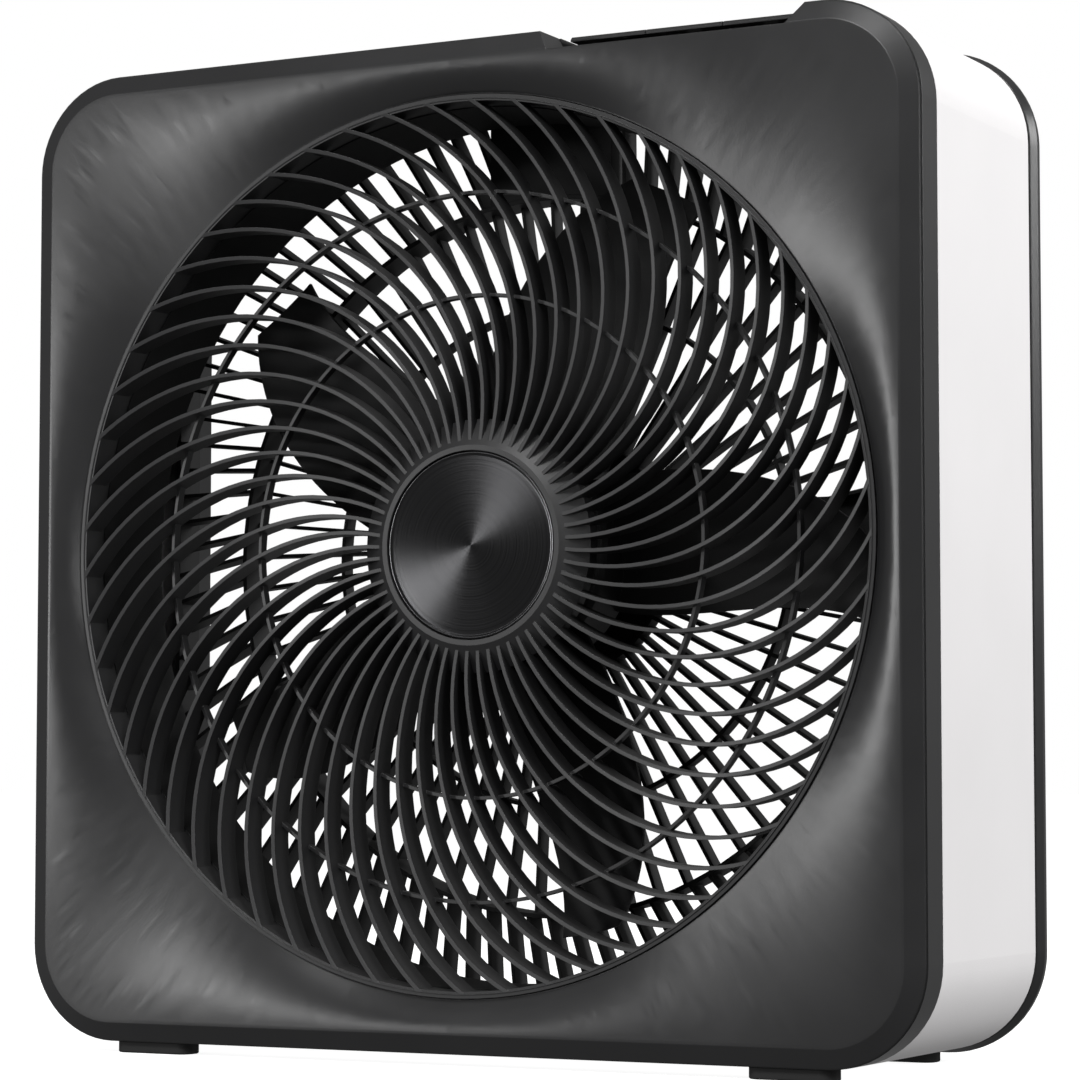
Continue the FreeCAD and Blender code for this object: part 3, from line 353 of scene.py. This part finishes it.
print("helpers: use_group, blend_colours, stretch, paler_by, new_material")

# %% Plastic recipe
dust_colour = (0.42, 0.40, 0.37)
sheen_spread = 0.035
dust_mattes = 0.6
edge_mask_gain = 6.0
grain_depth = 0.0004
worn_gain = 1.6
worn_lift = 0.01


def plastic(name, colour, roughness, grain_per_metre=3000.0, grain_height=0.04, edge_radius=0.0006,
            edge_gain=0.25, dust=0.1, specular=0.5, drift=0.1):
    material, tree, skin = new_material(name)
    grain = use_group(tree, moulded_grain, Grain_per_metre=grain_per_metre)
    edges = use_group(tree, handled_edges, Edge_radius=edge_radius, Amount=edge_mask_gain * edge_gain)
    dusty = use_group(tree, settled_dust, Amount=dust)
    darker = tuple(v * (1 - drift) for v in colour)
    paler = paler_by(colour, 1 + drift)
    worn = paler_by(colour, worn_gain, worn_lift)
    drifted = blend_colours(tree, stretch(tree, grain.outputs["Drift"], 0.0, 1.0), darker, paler)
    edged = blend_colours(tree, edges.outputs["Edge"], drifted, worn)
    covered = blend_colours(tree, dusty.outputs["Dust"], edged, dust_colour)
    join(tree, covered, skin.inputs["Base Color"])
    sheen = stretch(tree, grain.outputs["Drift"], roughness - sheen_spread, roughness + sheen_spread)
    matted = maths(tree, "MULTIPLY", dusty.outputs["Dust"], dust_mattes)
    join(tree, maths(tree, "ADD", sheen, matted, clamp=True), skin.inputs["Roughness"])
    bump = add_node(tree, "ShaderNodeBump", Strength=grain_height, Distance=grain_depth)
    join(tree, grain.outputs["Height"], bump.inputs["Height"])
    join(tree, edges.outputs["Rounded"], bump.inputs["Normal"])
    join(tree, bump.outputs[0], skin.inputs["Normal"])
    skin.inputs["Specular IOR Level"].default_value = specular
    print("material:", name)
    return material


print("recipe: plastic, with its sheen spread over", sheen_spread)

# %% [markdown]
# ## The plastics of this fan
# The housing and the grille share a satin charcoal. The blades and everything behind the
# grille are darker and flatter, so that the eye stays on the grille: the darker colour is
# painted shade, and the flatter finish is their own. The band round the sides is the one pale
# part, moulded in a slightly warm white with a coarser grain.

# %% Plastics
finishes = {}
finishes["shell_charcoal"] = plastic(
    "satin charcoal housing", (0.016, 0.016, 0.0167), roughness=0.31,
    grain_per_metre=2600.0, grain_height=0.1, edge_radius=0.0009, edge_gain=0.3,
    dust=0.05)
finishes["grille_charcoal"] = plastic(
    "satin charcoal grille", (0.0165, 0.0165, 0.0172), roughness=0.42,
    grain_per_metre=3200.0, grain_height=0.06, edge_radius=0.0004, edge_gain=0.2,
    dust=0.04)
# painted shade: the blades' colour is darker than the grille's charcoal, to stand for the shade
# behind the grille
finishes["blade_charcoal"] = plastic(
    "charcoal blades darkened as painted shade", (0.0075, 0.0075, 0.0078), roughness=0.5,
    grain_per_metre=3000.0, grain_height=0.06, edge_radius=0.0006, edge_gain=0.2,
    dust=0.04, specular=0.35)
finishes["key_charcoal"] = plastic(
    "charcoal keys", (0.013, 0.013, 0.0136), roughness=0.38,
    grain_per_metre=3400.0, grain_height=0.05, edge_radius=0.0006, edge_gain=0.3,
    dust=0.05)
# painted shade: the parts inside are darkened to stand for the shade behind the grille
finishes["inner_black"] = plastic(
    "flat black inside darkened as painted shade", (0.0065, 0.0065, 0.0068), roughness=0.6,
    grain_per_metre=2400.0, grain_height=0.1, edge_radius=0.0005, edge_gain=0.2,
    dust=0.04, specular=0.3)
finishes["band_white"] = plastic(
    "warm white band", (0.83, 0.815, 0.82), roughness=0.55,
    grain_per_metre=1500.0, grain_height=0.18, edge_radius=0.0006, edge_gain=0.0,
    dust=0.03, drift=0.012)
finishes["nylon"] = plastic(
    "natural nylon", (0.62, 0.6, 0.54), roughness=0.42,
    grain_per_metre=2200.0, grain_height=0.05, edge_radius=0.0003, edge_gain=0.1)
finishes["capacitor_grey"] = plastic(
    "smooth grey case", (0.16, 0.165, 0.17), roughness=0.3,
    grain_per_metre=4000.0, grain_height=0.02, edge_radius=0.0006, edge_gain=0.2)
finishes["rubber"] = plastic(
    "black rubber", (0.02, 0.02, 0.02), roughness=0.72,
    grain_per_metre=1800.0, grain_height=0.16, edge_radius=0.0006, edge_gain=0.2,
    specular=0.3)
finishes["lead_black"] = plastic(
    "black lead sheath", (0.015, 0.015, 0.015), roughness=0.48,
    grain_per_metre=2600.0, grain_height=0.05, edge_radius=0.0003, edge_gain=0.1)
print(len(finishes), "plastics")

# %% [markdown]
# ## The metals
# Steel, bronze, cast aluminium and enamelled copper differ in colour and in how they were
# made. All of them are metallic surfaces whose roughness follows a fine texture: turning rings
# where they came off a lathe, plain grain where they were cast or stamped.

# %% Metal recipe
metal_shade = 0.86
metal_edge_gain = 1.25
metal_sheen_spread = 0.08
metal_bump = 0.08
metal_bump_depth = 0.0002


def metal(name, colour, roughness, turned=False, rings_per_metre=1500.0):
    material, tree, skin = new_material(name)
    grain = use_group(tree, moulded_grain, Grain_per_metre=5000.0, Drift_per_metre=40.0)
    edges = use_group(tree, handled_edges, Edge_radius=0.0003, Amount=2.0)
    source = grain.outputs["Height"]
    if turned:
        source = use_group(tree, turned_rings, Rings_per_metre=rings_per_metre).outputs["Rings"]
    darker = tuple(v * metal_shade for v in colour)
    tinted = blend_colours(tree, stretch(tree, grain.outputs["Drift"], 0.0, 1.0), darker, colour)
    edged = blend_colours(tree, edges.outputs["Edge"], tinted, paler_by(colour, metal_edge_gain))
    join(tree, edged, skin.inputs["Base Color"])
    sheen = stretch(tree, source, roughness - metal_sheen_spread, roughness + metal_sheen_spread)
    join(tree, sheen, skin.inputs["Roughness"])
    bump = add_node(tree, "ShaderNodeBump", Strength=metal_bump, Distance=metal_bump_depth)
    join(tree, source, bump.inputs["Height"])
    join(tree, edges.outputs["Rounded"], bump.inputs["Normal"])
    join(tree, bump.outputs[0], skin.inputs["Normal"])
    skin.inputs["Metallic"].default_value = 1.0
    print("metal:", name)
    return material


print("recipe: metal, with its sheen spread over", metal_sheen_spread)

# %% Metals
finishes.update({
    "steel": metal("turned steel", (0.52, 0.52, 0.53), 0.34, turned=True),
    "screw_steel": metal("zinc plated steel", (0.58, 0.58, 0.57), 0.36),
    "aluminium": metal("cast aluminium", (0.70, 0.70, 0.71), 0.46),
    "copper": metal(
        "enamelled copper", (0.60, 0.27, 0.13), 0.30, turned=True, rings_per_metre=1100.0),
    "bronze": metal("sintered bronze", (0.55, 0.38, 0.18), 0.44),
})
finishes["motor_paint"] = plastic(
    "satin black paint", (0.030, 0.030, 0.031), roughness=0.36,
    grain_per_metre=3600.0, grain_height=0.04, edge_radius=0.0005, edge_gain=0.4)
print(len(finishes), "finishes so far")

# %% [markdown]
# ## The badge
# The middle of the grille carries a plain disc of dark metal, turned on a lathe. Its fine
# grooves all run round the centre, so it reflects a lamp as two bright wedges instead of a
# spot. That is anisotropy: the tangent is set round the disc's own axis, and an eighth of a
# turn added to it lays the wedges from the upper right to the lower left. The disc itself is
# made again here as a turned mesh, because its grooves are real geometry and need far more
# rings than a plain solid has.

# %% Badge finish
badge_dark = (0.030, 0.030, 0.031)
badge_pale = (0.062, 0.062, 0.064)
badge_roughness = (0.13, 0.21)
eighth_turn = 0.125


def spun_metal():
    material, tree, skin = new_material("dark spun metal")
    rings = use_group(tree, turned_rings, Rings_per_metre=1250.0)
    tone = stretch(tree, rings.outputs["Rings"], 0.0, 1.0)
    join(tree, blend_colours(tree, tone, badge_dark, badge_pale), skin.inputs["Base Color"])
    sheen = stretch(tree, rings.outputs["Fine rings"], *badge_roughness)
    join(tree, sheen, skin.inputs["Roughness"])
    bump = add_node(tree, "ShaderNodeBump", Strength=0.05, Distance=0.0001)
    join(tree, rings.outputs["Fine rings"], bump.inputs["Height"])
    join(tree, bump.outputs[0], skin.inputs["Normal"])
    skin.inputs["Metallic"].default_value = 1.0
    skin.inputs["Anisotropic"].default_value = 0.85
    skin.inputs["Anisotropic Rotation"].default_value = eighth_turn
    tangent = add_node(tree, "ShaderNodeTangent", direction_type="RADIAL", axis="Y")
    join(tree, tangent.outputs[0], skin.inputs["Tangent"])
    print("metal:", material.name)
    return material


finishes["spun_metal"] = spun_metal()

# %% Turned meshes


def turned_mesh(name, profile, segments=192):
    """Spin a profile of (radius, y) round the fan's axis. It starts and ends on the axis."""
    vertices = []
    faces = []
    rings = []
    for radius, depth in profile:
        if radius == 0.0:
            rings.append([len(vertices)])
            vertices.append((axis_x, depth, axis_z))
            continue
        start = len(vertices)
        for step in range(segments):
            angle = 2 * math.pi * step / segments
            across = axis_x + radius * math.cos(angle)
            upward = axis_z + radius * math.sin(angle)
            vertices.append((across, depth, upward))
        rings.append(list(range(start, start + segments)))
    for inner, outer in zip(rings, rings[1:]):
        for step in range(segments):
            after = (step + 1) % segments
            if len(inner) == 1:
                faces.append((inner[0], outer[step], outer[after]))
            elif len(outer) == 1:
                faces.append((inner[step], outer[0], inner[after]))
            else:
                faces.append((inner[step], outer[step], outer[after], inner[after]))
    mesh = bpy.data.meshes.new(name)
    mesh.from_pydata(vertices, [], faces)
    mesh.update()
    piece = bpy.data.objects.new(name, mesh)
    bpy.context.scene.collection.objects.link(piece)
    return piece


print("helper: turned_mesh")

# %% Badge mesh
face_recess = 0.0003
groove_pitch = 0.0008
groove_depth = 0.00002
rim_width = 0.0020
rim_step = 0.0004
rim_round = 0.0005


def badge_profile(radius, front, back):
    """The grooved face, the low rim round it with its rounded corner, and the flat back."""
    face = front + face_recess
    profile = [(0.0, face)]
    groove_count = int((radius - rim_width - groove_pitch / 2) / groove_pitch)
    for index in range(1, groove_count + 1):
        offset = groove_depth if index % 2 else 0.0
        profile.append((index * groove_pitch, face + offset))
    profile += [
        (radius - rim_width, face),
        (radius - rim_width + rim_step, front + 0.1 * rim_round),
        (radius - rim_round, front),
        (radius - 0.2 * rim_round, front + 0.4 * rim_round),
        (radius, front + rim_round),
        (radius, back),
        (0.0, back)]
    return profile


def make_badge():
    low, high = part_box("badge_disc")
    radius = (high[0] - low[0]) / 2
    profile = badge_profile(radius, low[1], high[1])
    badge = turned_mesh("badge_face", profile)
    for polygon in badge.data.polygons:
        polygon.use_smooth = True
    badge.data.materials.append(finishes["spun_metal"])
    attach(badge, "housing")
    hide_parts("badge_disc")
    print("badge radius in mm:", round(radius * 1000, 1), "points in its profile:", len(profile))


make_badge()

# %% [markdown]
# ## Dressing the solids
# The record says which finish each solid belongs to. The solids keep their meshes: only their
# material slots change.

# %% Give each solid its finish
slot_of = {part["node"]: part["material_slot"] for part in record["subparts"]}
for node_name, node_object in frame["nodes"].items():
    finish = finishes[slot_of[node_name]]
    node_object.data.materials.clear()
    node_object.data.materials.append(finish)
print("dressed", len(slot_of), "solids")

# %% [markdown]
# ## The studio
# The fan stands on a pale floor in front of a plain white background, and five soft panels
# light it. A small one low on the left draws the bright crescents round the dish and the two
# wedges on the badge. One above and in front lifts the grille, two on the right light the
# white band, and one overhead finds the top edges. The white surroundings fill in the rest.

# %% Floor


def make_floor():
    mesh = bpy.data.meshes.new("studio floor")
    reach = 30.0
    corners = [(-reach, -reach, 0), (reach, -reach, 0), (reach, reach, 0), (-reach, reach, 0)]
    mesh.from_pydata(corners, [], [(0, 1, 2, 3)])
    floor = bpy.data.objects.new("studio floor", mesh)
    bpy.context.scene.collection.objects.link(floor)
    material, tree, skin = new_material("pale studio floor")
    skin.inputs["Base Color"].default_value = (0.55, 0.55, 0.55, 1)
    skin.inputs["Roughness"].default_value = 0.9
    skin.inputs["Emission Color"].default_value = (1, 1, 1, 1)
    skin.inputs["Emission Strength"].default_value = 0.9
    mesh.materials.append(material)
    floor.visible_diffuse = False
    floor.visible_glossy = False
    print("floor reaches", reach, "m each way")


make_floor()

# %% Soft lights


def soft_panel(name, place, size, power, aim=(0, 0, 0.27)):
    """A rectangular lamp at a place, turned to the middle of the fan. The power is in watts."""
    data = bpy.data.lights.new(name, "AREA")
    data.shape = "RECTANGLE"
    data.size, data.size_y = size
    data.energy = power
    panel = bpy.data.objects.new(name, data)
    panel.location = place
    direction = Vector(aim) - Vector(place)
    panel.rotation_euler = direction.to_track_quat("-Z", "Y").to_euler()
    bpy.context.scene.collection.objects.link(panel)
    print("light:", name, power, "W")


wide = (0.8, 0.8)
small = (0.24, 0.30)
soft_panel("left panel", (-1.58, -1.93, 0.42), small, 13)
soft_panel("front top panel", (0.0, -2.0, 1.94), wide, 36)
soft_panel("right panel", (2.17, -1.25, 0.94), wide, 15)
soft_panel("right rear panel", (2.11, 1.22, 1.16), wide, 33)
soft_panel("overhead panel", (1.13, -0.65, 2.52), wide, 26)

# %% White surroundings
seen_strength = 1.0
fill_strength = 0.23


def make_world():
    """White to the camera, and a weaker white to everything that the surroundings light."""
    world = bpy.data.worlds.new("white studio")
    bpy.context.scene.world = world
    world.use_nodes = True
    tree = world.node_tree
    tree.nodes.clear()
    output = add_node(tree, "ShaderNodeOutputWorld")
    seen = add_node(tree, "ShaderNodeBackground", Strength=seen_strength)
    seen.inputs["Color"].default_value = (1, 1, 1, 1)
    fill = add_node(tree, "ShaderNodeBackground", Strength=fill_strength)
    fill.inputs["Color"].default_value = (1, 1, 1, 1)
    mix = add_node(tree, "ShaderNodeMixShader")
    ray = add_node(tree, "ShaderNodeLightPath")
    join(tree, ray.outputs["Is Camera Ray"], mix.inputs[0])
    join(tree, fill.outputs[0], mix.inputs[1])
    join(tree, seen.outputs[0], mix.inputs[2])
    join(tree, mix.outputs[0], output.inputs[0])
    print("surroundings:", seen_strength, "seen,", fill_strength, "as fill")


make_world()
bpy.context.scene.view_settings.view_transform = "Standard"
